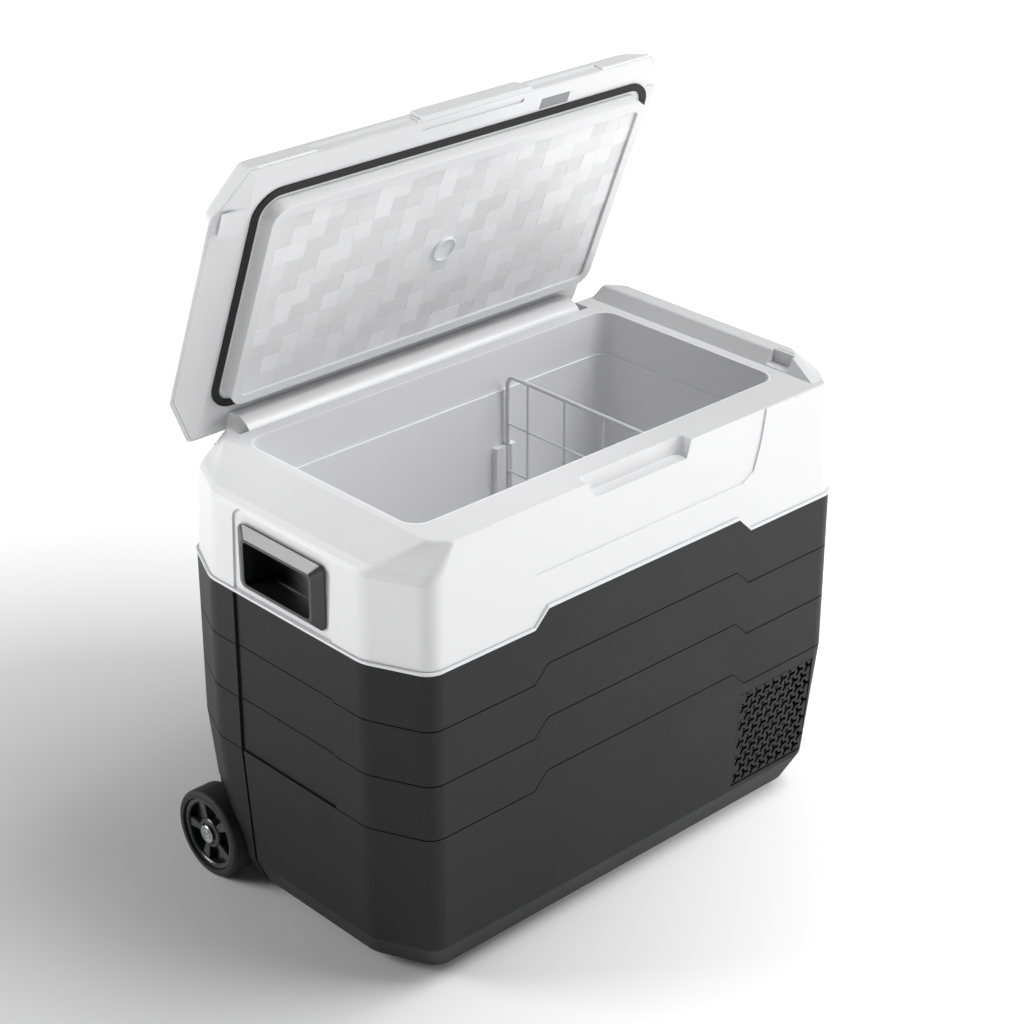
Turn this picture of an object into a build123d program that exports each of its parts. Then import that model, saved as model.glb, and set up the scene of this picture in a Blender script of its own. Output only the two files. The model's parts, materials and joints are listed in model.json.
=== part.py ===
from build123d import *
import os
from math import cos, radians, sin

# Wheeled compressor cooler, lid raised.
# Frame: X along the length towards the console end, Y towards the hinge side, Z up,
# origin on the floor under the middle of the body. All sizes in millimetres.

# ---- body envelope
LENGTH = 690.0          # over the lower shell, along X
WIDTH = 400.0           # over the lower shell, along Y
FOOT_H = 14.0           # floor to the underside of the body
SKIRT_H = 50.0          # floor to the top of the bottom chamfer
LOWER_H = 203.0         # floor to the foot of the upright walls
SEAM_H = 405.0          # floor to the joint of the two shells
RIM_H = 544.0           # floor to the rim deck
SHOULDER_H = RIM_H - 35     # floor to the break into the sloping shoulder
CONSOLE_H = RIM_H + 17      # floor to the console's top
SKIRT_IN = 27.0         # how far the underside is inset
LOWER_IN = 11.0         # inset at the top of the bottom chamfer
UPPER_IN = 1.5          # inset of the upper shell at the joint
SHOULDER_IN = 5.0       # inset of the upper shell at the shoulder
FACET_X = 33.0          # corner facet, along X
FACET_Y = 72.0          # corner facet, along Y
FACET_R_END = 42.0      # rounding between an end wall and its facets
FACET_R_SIDE = 24.0     # rounding between a long wall and its facets
WALL = 4.0              # shell wall
SKIRT_ROUND = 8.0       # rounding at the top of the bottom chamfer
BREAK_SOFT = 6.0        # half height of the softened shoulder break
RIM_ROUND = 4.0
FIT = 0.3               # gap round parts that drop into a hole

# ---- rim deck and shoulder
RIM_LEFT_IN = 55.0      # end wall to rim edge, grip end
RIM_RIGHT_IN = 18.0     # the same, console end
RIM_FRONT_IN = 10.0
RIM_BACK_IN = 17.0

# ---- shell joint, step in the front wall and grooves
STEP_H = 19.5           # rise of the raised middle of the front joint
STEP_LEFT = -167.0      # foot of the rise, left
STEP_RIGHT = 171.0      # foot of the rise, right
STEP_RUN = 20.0         # run of the rise
STEP_DEPTH = 60.0       # how far the rise reaches in from the front wall
TRIM_H = 3.0
TRIM_OUT = 0.6
TRIM_GAP = 0.8
GROOVE_LEVELS = (337.0, 270.0, 203.0)
GROOVE_W = 1.6
GROOVE_D = 1.0
BAY_Y0 = -78.0          # recessed bay in each end wall
BAY_Y1 = 88.0
BAY_TOP = SHOULDER_H - 3
BAY_D = 2.5
BAY_R = 14.0
BAY_GROOVE_W = 4.0      # upright groove beside the bay
PANEL_D = 2.0           # recessed panel in the upper front
PANEL_TOP = (-222.0, 202.0)
PANEL_MID = (-200.0, 192.0)
PANEL_LOW = (-160.0, 158.0)
PANEL_MID_H = RIM_H - 24
PANEL_LOW_H = 466.0

# ---- tub
TUB_X0 = -LENGTH / 2 + 62
TUB_X1 = LENGTH / 2 - 69
TUB_HALF_Y = WIDTH / 2 - 57.5
TUB_R = 22.0
TUB_WALL = 3.0
TUB_STEP_H = RIM_H - 53      # floor to the ledge inside the tub
TUB_STEP_IN = 2.0
TUB_FOOT_IN = 4.0
TUB_FLOOR_H = 62.0
SHELF_X = TUB_X1 - 150         # tub stays deep up to here
SHELF_H = 225.0         # floor to the shelf over the compressor bay

# ---- finger recess
FINGER_HALF = 80.0
FINGER_TAPER = 10.0
FINGER_DEEP = 19.0
FINGER_IN = 19.0

# ---- hinge
HINGE_Y = WIDTH / 2 - 16
HINGE_Z = RIM_H - 18
BARREL_R = 30.0
BARREL_GAP = 1.0
BARREL_X0 = TUB_X0 + 25
BARREL_X1 = TUB_X1 - 26
HUB_R = 9.0
PIN_R = 4.0
PIN_L = 46.0
PIN_IN = 18.0           # how far a pin reaches into the barrel
PIN_FIT = 0.05
OPEN_DEG = 68.7         # how far the lid stands open at rest
TROUGH_T = 3.5
TROUGH_END = 14.0       # open notch beyond each end of the barrel

# ---- lid, stated as it lies closed
LID_GAP = 3.0           # rim deck to lid underside
LID_X0 = -LENGTH / 2 + 3
LID_X1 = TUB_X1 + 7
LID_Y0 = -WIDTH / 2 + 12
LID_Y1 = WIDTH / 2 - 10
LID_EDGE_H = 22.0       # height of the lid's side wall
LID_H = 41.0            # height of the lid over its underside
LID_WALL = 3.5
LID_SOFT = 3.5          # half height of the softened break round the lid
LID_ROUND = 7.0
LID_SLOPE_X = LID_X0 + 45    # where the underside starts to rise towards the grip end
LID_SLOPE_RISE = 11.0
PLUG_GAP = 6.0          # tub to plug, all round
PLUG_BACK_GAP = 8.5     # the same, hinge side
PLUG_H = 18.0
PLUG_FRAME_W = 12.0
PLUG_R = 20.0
PANEL_SET = 3.0         # facet panel behind the frame's face
GASKET_W = 8.8
GASKET_OUT = 6.2        # plug side to gasket
GASKET_H = 2.7
TAB_Y0 = LID_Y0 + 50
TAB_Y1 = LID_Y0 + 76

# ---- wheels and feet
WHEEL_R = 54.0
WHEEL_W = 36.0
WHEEL_Y = WIDTH / 2 - 38
WHEEL_OUT = 3.0         # wheel face beyond the end wall
ARCH_GAP = 6.0
AXLE_R = 5.0
TYRE_T = 9.0
SKID_X = LENGTH / 2 - 71
SKID_FRONT = -WIDTH / 2 + 50
SKID_BACK = 70.0
SKID_W = 26.0
PLATE_T = 4.0

# ---- compressor bay
GRILLE_X0 = LENGTH / 2 - 177
GRILLE_X1 = LENGTH / 2 - 49
GRILLE_Z0 = 57.0
GRILLE_Z1 = 188.0
GRILLE_T = 3.0
COMP_R = 50.0
COMP_X = LENGTH / 2 - 123
COMP_Y = 22.0
FAN_R = 52.0
FAN_X = LENGTH / 2 - 113
FAN_Z = 108.0
FAN_Y = -WIDTH / 2 + 76

# ---- grips and control pad
GRIP_Y = 4.0            # middle of each grip, along Y
GRIP_Z = 454.0          # middle of each grip, over the floor
PAD_L = 150.0            # control pad, along Y
PAD_W = 28.0

# ---- divider
DIVIDER_X = 104.0
DIVIDER_TOP = 510.0
DIVIDER_PITCH = 62.0    # spacing of the crossing wires
DIVIDER_FIT = 1.0       # tub wall to divider
WIRE_R = 2.6
THIN_R = 1.5
RAIL_GAP = 3.3          # middle of the divider to each rail
RAIL_TOP = 420.0        # floor to the top of the rails

X0 = -LENGTH / 2
Y0 = -WIDTH / 2
WHEEL_Z = WHEEL_R
UNDERSIDE = RIM_H + LID_GAP
SHAPES = {}


def keep(name, shape):
    """Stores one named piece."""
    SHAPES[name] = shape


def block(x0, x1, y0, y1, z0, z1):
    """A box between two corners."""
    return Pos((x0 + x1) / 2, (y0 + y1) / 2, (z0 + z1) / 2) * Box(x1 - x0, y1 - y0, z1 - z0)


def rounded_block(x0, x1, y0, y1, z0, z1, r):
    """A box with upright edges rounded."""
    return fillet(block(x0, x1, y0, y1, z0, z1).edges().filter_by(Axis.Z), r)


def rod(start, end, r):
    """A round bar between two points."""
    a = Vector(*start)
    b = Vector(*end)
    return Solid.make_cylinder(r, (b - a).length, Plane(origin=a, z_dir=b - a))


def pipe(points, bends, r):
    """A round tube bent along straight runs and arcs."""
    path = FilletPolyline(*points, radius=bends)
    return sweep(Plane(origin=path @ 0, z_dir=path % 0) * Circle(r), path=path)


def outline(box, left, right, radii, z):
    """Plan outline with a facet across each corner; left and right give the facet's X and Y."""
    x0, x1, y0, y1 = box
    lx, ly = left
    rx, ry = right
    points = [(x0, y0 + ly), (x0 + lx, y0), (x1 - rx, y0), (x1, y0 + ry),
              (x1, y1 - ry), (x1 - rx, y1), (x0 + lx, y1), (x0, y1 - ly)]
    face = make_face(Polyline(*points, close=True))
    ends = [v for v in face.vertices() if min(abs(v.X - x0), abs(v.X - x1)) < 1e-6]
    face = fillet(ends, radii[0])
    sides = [v for v in face.vertices() if any(abs(v.X - px) < 1e-6 and abs(v.Y - py) < 1e-6
                                               for px, py in points if py in (y0, y1))]
    return Pos(0, 0, z) * fillet(sides, radii[1])


def body_outline(inset, z):
    """The body's plan, inset all round."""
    box = (X0 + inset, -X0 - inset, Y0 + inset, -Y0 - inset)
    facet = (FACET_X, FACET_Y)
    return outline(box, facet, facet, (FACET_R_END, FACET_R_SIDE), z)


def between(a, b, t):
    """Numbers part of the way from one list to another."""
    return tuple(p + (q - p) * t for p, q in zip(a, b))


def shoulder_outline(t, inset, z):
    """Plan of the sloping shoulder, from its foot at 0 to the rim deck at 1, inset all round."""
    foot = (X0 + SHOULDER_IN, -X0 - SHOULDER_IN, Y0 + SHOULDER_IN, -Y0 - SHOULDER_IN)
    rim = (X0 + RIM_LEFT_IN, -X0 - RIM_RIGHT_IN, Y0 + RIM_FRONT_IN, -Y0 - RIM_BACK_IN)
    x0, x1, y0, y1 = between(foot, rim, t)
    left = between((FACET_X, FACET_Y), (18.0, 20.0), t)
    right = between((FACET_X, FACET_Y), (26.0, 30.0), t)
    radii = between((FACET_R_END, FACET_R_SIDE), (9.0, 9.0), t)
    return outline((x0 + inset, x1 - inset, y0 + inset, y1 - inset), left, right, radii, z)


def lower_form(inset):
    """The lower body's outer form, inset, running a little above the joint."""
    sections = [body_outline(SKIRT_IN + inset, FOOT_H), body_outline(LOWER_IN + inset, SKIRT_H),
                body_outline(inset, LOWER_H), body_outline(inset, SEAM_H + STEP_H + 12)]
    form = loft(sections, ruled=True)
    if inset == 0:
        form = fillet(edges_at(form, SKIRT_H), SKIRT_ROUND)
        form = fillet(edges_at(form, FOOT_H), 4)
    return form


def upper_form(inset, top):
    """The upper body's outer form, inset, up to the rim deck."""
    drop = inset / 2
    rise = BREAK_SOFT / (RIM_H - SHOULDER_H)
    sections = [body_outline(UPPER_IN + inset, SEAM_H - 2),
                body_outline(SHOULDER_IN - 0.2 + inset, SHOULDER_H - BREAK_SOFT - drop),
                shoulder_outline(rise * 0.3, inset, SHOULDER_H - drop),
                shoulder_outline(rise, inset, SHOULDER_H + BREAK_SOFT - drop),
                shoulder_outline(1, inset, top)]
    form = loft(sections, ruled=True)
    if inset == 0:
        form = fillet(edges_at(form, top), RIM_ROUND)
    return form


def edges_at(shape, z):
    """The edges that lie flat at one level."""
    return [e for e in shape.edges() if max(abs(e.bounding_box().min.Z - z), abs(e.bounding_box().max.Z
                                                                                 - z)) < 0.5]


def under_line(z):
    """Everything below a level that steps up along the middle of the front wall."""
    reach = LENGTH
    low = block(-reach, reach, -reach, reach, -50, z)
    step = make_face(Polyline((STEP_LEFT, z - 1), (STEP_LEFT, z), (STEP_LEFT + STEP_RUN, z + STEP_H),
                              (STEP_RIGHT - STEP_RUN, z + STEP_H), (STEP_RIGHT, z), (STEP_RIGHT, z - 1),
                              close=True))
    step = extrude(Plane(origin=(0, Y0 + STEP_DEPTH, 0), x_dir=(1, 0, 0), z_dir=(0, -1, 0)) * step,
                   amount=2 * STEP_DEPTH)
    return low + step


def skin(form, outer, inner):
    """The layer of a form between two insets."""
    return form(outer) - form(inner)


def end_bay(side):
    """Window that covers the recessed bay of one end wall, side -1 or 1."""
    x = side * LENGTH / 2
    bay = block(x - 30, x + 30, BAY_Y0, BAY_Y1, LOWER_H, BAY_TOP)
    tops = bay.edges().filter_by(Axis.X).sort_by(Axis.Z)[-2:]
    return fillet(tops, BAY_R)


def wheel_arch(side):
    """Room for one wheel, side -1 or 1."""
    inner = LENGTH / 2 + WHEEL_OUT - WHEEL_W - ARCH_GAP
    r = WHEEL_R + ARCH_GAP
    far = LENGTH / 2 + 20
    x0, x1 = sorted((side * inner, side * far))
    arch = Pos((x0 + x1) / 2, WHEEL_Y, WHEEL_Z) * Rot(0, 90, 0) * Cylinder(r, x1 - x0)
    arch += block(x0, x1, WHEEL_Y - r, WHEEL_Y + r, -10, WHEEL_Z)
    return arch + block(x0, x1, WHEEL_Y, WHEEL_Y + r, -10, WHEEL_Z + r)


def arch_wall(side):
    """Solid round the wheel arch before the arch is cut."""
    inner = LENGTH / 2 + WHEEL_OUT - WHEEL_W - ARCH_GAP - WALL
    r = WHEEL_R + ARCH_GAP + WALL
    x0, x1 = sorted((side * inner, side * (LENGTH / 2 + 20)))
    wall = Pos((x0 + x1) / 2, WHEEL_Y, WHEEL_Z) * Rot(0, 90, 0) * Cylinder(r, x1 - x0)
    wall += block(x0, x1, WHEEL_Y - r, WHEEL_Y + r, -10, WHEEL_Z)
    wall += block(x0, x1, WHEEL_Y, WHEEL_Y + r, -10, WHEEL_Z + r)
    return wall & lower_form(0)


def grille_window(gap):
    """Front grille opening, grown by a gap."""
    return block(GRILLE_X0 - gap, GRILLE_X1 + gap, Y0 - 5, Y0 + 40, GRILLE_Z0 - gap, GRILLE_Z1 + gap)


def side_window(gap):
    """Air inlet in the console end, grown by a gap."""
    return block(-X0 - 40, -X0 + 5, -62 - gap, 40 + gap, 62 - gap, 170 + gap)


def socket_hole(gap):
    """Hole for the power inlet, grown by a gap."""
    return Pos(-X0 - 15, 64, 150) * Box(60, 26 + 2 * gap, 34 + 2 * gap)


def make_lower_shell():
    """Dark lower shell: walls, wheel arches, bays, grooves and openings."""
    shell = skin(lower_form, 0, WALL)
    for side in (-1, 1):
        shell += arch_wall(side)
    for side in (-1, 1):
        shell -= wheel_arch(side)
    bay_cut = skin(lower_form, -2, BAY_D)
    for side in (-1, 1):
        shell -= bay_cut & end_bay(side)
    groove_cut = skin(lower_form, -2, GROOVE_D)
    for level in GROOVE_LEVELS:
        shell -= groove_cut & (under_line(level + GROOVE_W) - under_line(level))
        bay_groove = skin(lower_form, -2, BAY_D + GROOVE_D) & (under_line(level + GROOVE_W)
                                                               - under_line(level))
        for side in (-1, 1):
            shell -= bay_groove & end_bay(side)
    for side in (-1, 1):
        x = side * LENGTH / 2
        slot = block(x - 40, x + 40, BAY_Y1 - BAY_GROOVE_W, BAY_Y1, 0, SEAM_H)
        shell -= skin(lower_form, -2, BAY_D + 0.8) & slot
    shell -= grille_window(FIT)
    shell -= side_window(FIT)
    shell -= socket_hole(FIT)
    keep("lower_shell", shell & under_line(SEAM_H))


def make_seam_trim():
    """Bright bead along the joint of the shells."""
    band = under_line(SEAM_H + TRIM_H) - under_line(SEAM_H)
    keep("seam_trim", skin(lower_form, -TRIM_OUT, WALL) & band)


def tub_block(inset, z0, z1):
    """The tub's plan as a block, inset all round."""
    return rounded_block(TUB_X0 + inset, TUB_X1 - inset, -TUB_HALF_Y + inset, TUB_HALF_Y - inset, z0, z1,
                         TUB_R)


def finger_cut():
    """Finger recess under the lid's front edge."""
    front = Y0 - 12
    back = Y0 + RIM_FRONT_IN + FINGER_IN
    low = Pos(0, (front + back - 3) / 2, RIM_H - FINGER_DEEP) * Rectangle(2 * (FINGER_HALF - FINGER_TAPER),
                                                                          back - 3 - front)
    high = Pos(0, (front + back) / 2, RIM_H + 1) * Rectangle(2 * FINGER_HALF, back - front)
    corners = []
    for face in (low, high):
        back_ends = [v for v in face.vertices() if v.Y > Y0]
        corners.append(fillet(back_ends, 7))
    return loft(corners, ruled=True)


def finger_wall():
    """Material that lines the finger recess."""
    back = Y0 + RIM_FRONT_IN + FINGER_IN + WALL
    return block(-FINGER_HALF - WALL, FINGER_HALF + WALL, Y0, back, RIM_H - FINGER_DEEP - WALL, RIM_H)


def hinge_bar(r, x0, x1):
    """A cylinder on the hinge axis."""
    return rod((x0, HINGE_Y, HINGE_Z), (x1, HINGE_Y, HINGE_Z), r)


def grip_hole(side, gap):
    """Hole in an end wall for the grip's bucket."""
    x = side * LENGTH / 2
    return block(x - 45, x + 45, GRIP_Y - 62 - gap, GRIP_Y + 62 + gap, GRIP_Z - 31 - gap, GRIP_Z + 31 + gap)


PANEL_TILT = Plane(origin=(-X0 - (SHOULDER_IN + RIM_RIGHT_IN) / 2, -10, (SHOULDER_H + RIM_H) / 2),
                   x_dir=(0, 1, 0), z_dir=(RIM_H - SHOULDER_H, 0, RIM_RIGHT_IN - SHOULDER_IN))


def make_upper_shell():
    """White upper shell with rim deck, shoulder, recesses and hinge trough."""
    outer = upper_form(0, RIM_H)
    shell = outer - upper_form(WALL, RIM_H - WALL)
    shell += outer & finger_wall()
    trough_r = BARREL_R + BARREL_GAP
    x0 = BARREL_X0 - TROUGH_END
    x1 = BARREL_X1 + TROUGH_END
    lining = hinge_bar(trough_r + TROUGH_T, x0 - 22, x1 + 22) & block(x0 - 22, x1 + 22, 100, HINGE_Y + 8,
                                                                      300, RIM_H - 1)
    shell += outer & lining
    room = hinge_bar(trough_r, x0, x1)
    back_wall = block(x0, x1, -Y0 - SHOULDER_IN - WALL - 1, -Y0 + 20, 0, HINGE_Z - 14)
    shell -= room - back_wall
    shell -= block(x0, x1, HINGE_Y - 2, -Y0 + 20, HINGE_Z - 14, RIM_H + 20)
    shell -= hinge_bar(PIN_R, x0 - 18, x1 + 18)
    shell -= tub_block(-FIT, RIM_H - 30, RIM_H + 5) & block(-400, 400, -300, TUB_HALF_Y + FIT, 0, 700)
    shell -= finger_cut()
    for side in (-1, 1):
        bay_cut = (upper_form(-2, RIM_H + 1) - upper_form(BAY_D, RIM_H)) & end_bay(side)
        shell -= bay_cut
        shell -= grip_hole(side, FIT)
    panel = make_face(Polyline((PANEL_TOP[0], RIM_H + 5), (PANEL_MID[0], PANEL_MID_H), (PANEL_LOW[0] - 12,
                                                                                        PANEL_LOW_H + 10),
                               (PANEL_LOW[0], PANEL_LOW_H), (PANEL_LOW[1], PANEL_LOW_H),
                               (PANEL_LOW[1] + 18, PANEL_LOW_H + 10), (PANEL_MID[1], PANEL_MID_H),
                               (PANEL_TOP[1], RIM_H + 5), close=True))
    panel = extrude(Plane(origin=(0, Y0 + 60, 0), x_dir=(1, 0, 0), z_dir=(0, -1, 0)) * panel, amount=80)
    shell -= (upper_form(-2, RIM_H + 1) - upper_form(PANEL_D, RIM_H)) & panel
    shell -= PANEL_TILT * Box(PAD_L + 2 * FIT, PAD_W + 2 * FIT, 3.2)
    shell -= under_line(SEAM_H + TRIM_H)
    gap = under_line(SEAM_H + TRIM_H + TRIM_GAP) - under_line(SEAM_H + TRIM_H - 1)
    keep("upper_shell", shell - (skin(lower_form, -2, UPPER_IN + 1.5) & gap))


def make_tub():
    """Food-safe tub with its ledge, shelf and under-deck flange."""
    def form(inset, floor, shelf_x, shelf_z):
        band = tub_block(inset, TUB_STEP_H - 1, RIM_H)
        low = loft([Pos(0, 0, floor) * tub_plan(inset + TUB_FOOT_IN),
                    Pos(0, 0, TUB_STEP_H) * tub_plan(inset + TUB_STEP_IN)],
                   ruled=True)
        return band + low - block(shelf_x, 400, -300, 300, 0, shelf_z)
    outer = form(0, TUB_FLOOR_H - TUB_WALL, SHELF_X + TUB_WALL, SHELF_H - TUB_WALL)
    inner = form(TUB_WALL, TUB_FLOOR_H, SHELF_X, SHELF_H) + tub_block(TUB_WALL, RIM_H - 5, RIM_H + 5)
    flange = rounded_block(TUB_X0 - 2, TUB_X1 + 12, -TUB_HALF_Y - 12, TUB_HALF_Y + 5, RIM_H - WALL - 3,
                           RIM_H - WALL,
                           TUB_R)
    tub = outer + flange - inner
    for y in (-TUB_HALF_Y + TUB_WALL + TUB_FOOT_IN, TUB_HALF_Y - TUB_WALL - TUB_FOOT_IN):
        for x0, x1 in ((DIVIDER_X - 20, DIVIDER_X - RAIL_GAP), (DIVIDER_X + RAIL_GAP, DIVIDER_X + 12)):
            tub += rounded_block(x0, x1, y - 6, y + 3, TUB_FLOOR_H - 1, RAIL_TOP, 2.0)
    keep("inner_tub", tub & outer_limit())


def tub_plan(inset):
    """The tub's plan as a face."""
    w = TUB_X1 - TUB_X0 - 2 * inset
    return Pos((TUB_X0 + TUB_X1) / 2, 0) * RectangleRounded(w, 2 * (TUB_HALF_Y - inset), TUB_R)


def outer_limit():
    """Generous limit round the tub."""
    return block(TUB_X0 - 30, TUB_X1 + 30, -TUB_HALF_Y - 30, TUB_HALF_Y + 30, 0, RIM_H)


def make_foam():
    """Foamed insulation between the tub and the shells."""
    inset = WALL + 1
    foam = loft([body_outline(inset + SKIRT_IN, FOOT_H + 4.5), body_outline(inset + LOWER_IN, SKIRT_H),
                 body_outline(inset, LOWER_H),
                 body_outline(inset, SEAM_H - 4), body_outline(inset + UPPER_IN + 1, SEAM_H),
                 body_outline(inset + SHOULDER_IN, 488)], ruled=True)
    room = tub_block(-13, TUB_FLOOR_H - TUB_WALL - 0.5, 600)
    bay = block(SHELF_X + TUB_WALL + 16, 400, -400, 400, 0, SHELF_H - TUB_WALL - 0.5)
    foam = foam - room - bay
    for side in (-1, 1):
        foam -= grip_hole(side, 8)
        foam -= block(*sorted((side * 294, side * 400)), WHEEL_Y - WHEEL_R - 14, 300, 0, WHEEL_Z
                      + WHEEL_R + 14)
    keep("insulation_foam", foam)


def make_base():
    """Base plate, the skid that carries the front of the body, and its screws."""
    plate = extrude(body_outline(SKIRT_IN + WALL + FIT, FOOT_H), amount=PLATE_T)
    for side in (-1, 1):
        x0, x1 = sorted((side * (LENGTH / 2 + WHEEL_OUT - WHEEL_W - ARCH_GAP - WALL - FIT), side * 400))
        plate -= block(x0, x1, WHEEL_Y - WHEEL_R - ARCH_GAP - WALL - FIT, 300, 0, 60)
    skid = rounded_block(-SKID_X, SKID_X, SKID_FRONT, SKID_BACK, 0, FOOT_H, 16)
    skid -= rounded_block(-SKID_X + SKID_W, SKID_X - SKID_W, SKID_FRONT + SKID_W, 2 * SKID_BACK, -1,
                          FOOT_H + 1, 8)
    skid = chamfer(skid.faces().sort_by(Axis.Z)[0].edges(), 2)
    screws = []
    inset = SKID_W / 2
    for x in (-SKID_X + inset, SKID_X - inset):
        for y in (SKID_FRONT + 30, SKID_BACK - 20):
            spot = Pos(x, y)
            skid -= spot * Pos(0, 0, FOOT_H / 2) * Cylinder(2.6, FOOT_H + 2) + spot * Pos(0, 0,
                                                                                          3) * Cylinder(5.2, 6)
            plate -= spot * Pos(0, 0, FOOT_H + 2) * Cylinder(2.6, 6)
            screws.append(spot * (Pos(0, 0, 4.5) * Cylinder(4.6, 3) + Pos(0, 0, 12) * Cylinder(2.5, 12.6)))
    keep("base_plate", plate)
    keep("front_skid", skid)
    keep("skid_screws", Compound(children=screws))


def make_grips():
    """Black grip with a raised slanted frame and a finger pocket, one in each end wall."""
    for side, name in ((-1, "grip_left"), (1, "grip_right")):
        face = LENGTH / 2 - SHOULDER_IN + 1.0
        low = RectangleRounded(144, 77, 9)
        foot = Pos(0, 0, 2) * RectangleRounded(144, 77, 9)
        high = Pos(0, -2, 9) * RectangleRounded(118, 57, 7)
        frame = loft([low, foot], ruled=True) + loft([foot, high], ruled=True)
        frame = fillet(frame.faces().sort_by(Axis.Z)[-1].edges(), 1.5)
        bucket = Pos(0, 0, -17) * Box(122, 60, 34)
        pocket = extrude(Pos(0, -2, -20) * RectangleRounded(110, 51, 5), amount=40)
        pocket += extrude(Pos(0, 1, -31) * RectangleRounded(116, 54, 8), amount=26)
        grip = frame + bucket - pocket
        plane = Plane(origin=(side * face, GRIP_Y, GRIP_Z), x_dir=(0, side, 0), z_dir=(side, 0, 0))
        keep(name, plane * grip)


def console_plan(x0, x1, y0, y1, cut_x, cut_y, z):
    """The console's plan with a facet across its outer corners."""
    points = [(x0, y0), (x1 - cut_x, y0), (x1, y0 + cut_y), (x1, y1 - cut_y), (x1 - cut_x, y1), (x0, y1)]
    return Pos(0, 0, z) * make_face(Polyline(*points, close=True))


def make_console():
    """Raised console over the compressor end, with the lid tab's notch and its sound slots."""
    x0 = TUB_X1 + 12
    x1 = -X0 - RIM_RIGHT_IN
    y0 = Y0 + RIM_FRONT_IN + 10
    y1 = -Y0 - RIM_BACK_IN - 6
    low = console_plan(x0, x1 - 1, y0, y1, 22, 26, RIM_H)
    high = console_plan(x0 + 12, x1 - 6, y0 + 42, y1 - 8, 14, 20, CONSOLE_H)
    console = loft([low, high], ruled=True)
    console = fillet(edges_at(console, CONSOLE_H), 4)
    console -= block(x0 - 5, x0 + 15, TAB_Y0 - 2, TAB_Y1 + 3.5, RIM_H + 1.5, CONSOLE_H + 2)
    for i in range(7):
        y = TAB_Y0 + 1.4 + 4 * i
        console -= block(x0 + 17, x0 + 21, y - 0.6, y + 0.6, CONSOLE_H - 2, CONSOLE_H + 2)
    keep("console_cover", console)


def make_control_pad():
    """Control pad on the console end's shoulder: bezel, display and four press buttons."""
    pad = Box(PAD_L, PAD_W, 2.6)
    pad = fillet(pad.edges().filter_by(Axis.Z), 5)
    pad = Pos(0, 0, -0.1) * pad
    pad -= Pos(-34, 0, 1.2) * Box(52, 18, 0.9)
    for i in range(4):
        pad -= Pos(12 + 17 * i, 0, 0) * Cylinder(5.3, 10)
        button = Pos(12 + 17 * i, 0, 0.55) * Cylinder(5.0, 2.5)
        button = chamfer(button.faces().sort_by(Axis.Z)[-1].edges(), 0.4)
        keep(f"button_{i + 1}", PANEL_TILT * button)
    keep("control_bezel", PANEL_TILT * pad)
    keep("display_window", PANEL_TILT * Pos(-34, 0, 1.15) * Box(51.6, 17.6, 0.7))


def make_grilles():
    """Vented covers of the compressor bay."""
    front = skin(lower_form, 0.8, 0.8 + GRILLE_T) & grille_window(0)
    rows = 10
    columns = 8
    for row in range(rows):
        for col in range(columns):
            x = GRILLE_X0 + 11 + 15 * col + 7.5 * (row % 2)
            z = GRILLE_Z0 + 9 + 12.5 * row
            if x < GRILLE_X1 - 6:
                front -= rod((x, Y0 - 5, z), (x, Y0 + 30, z), 4.2)
    rim = (grille_window(5) - grille_window(-3)) & block(-400, GRILLE_X1 + 1, -400, 400, 0, 500)
    front += skin(lower_form, WALL - 0.4, WALL + 2) & (grille_window(0) - grille_window(-3))
    front += skin(lower_form, WALL, WALL + 2) & rim
    keep("front_grille", front)
    side = skin(lower_form, BAY_D + 0.4, BAY_D + 0.4 + GRILLE_T) & side_window(0)
    for row in range(8):
        z = 70 + 12.5 * row
        side -= rounded_slot(z)
    side += skin(lower_form, WALL - 1.2, WALL + 2) & (side_window(0) - side_window(-3))
    side += skin(lower_form, WALL, WALL + 2) & (side_window(4) - side_window(-3))
    keep("side_grille", side)


def rounded_slot(z):
    """One long air slot in the side grille."""
    return block(-X0 - 30, -X0 + 5, -50, 28, z - 2.5, z + 2.5)


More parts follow.
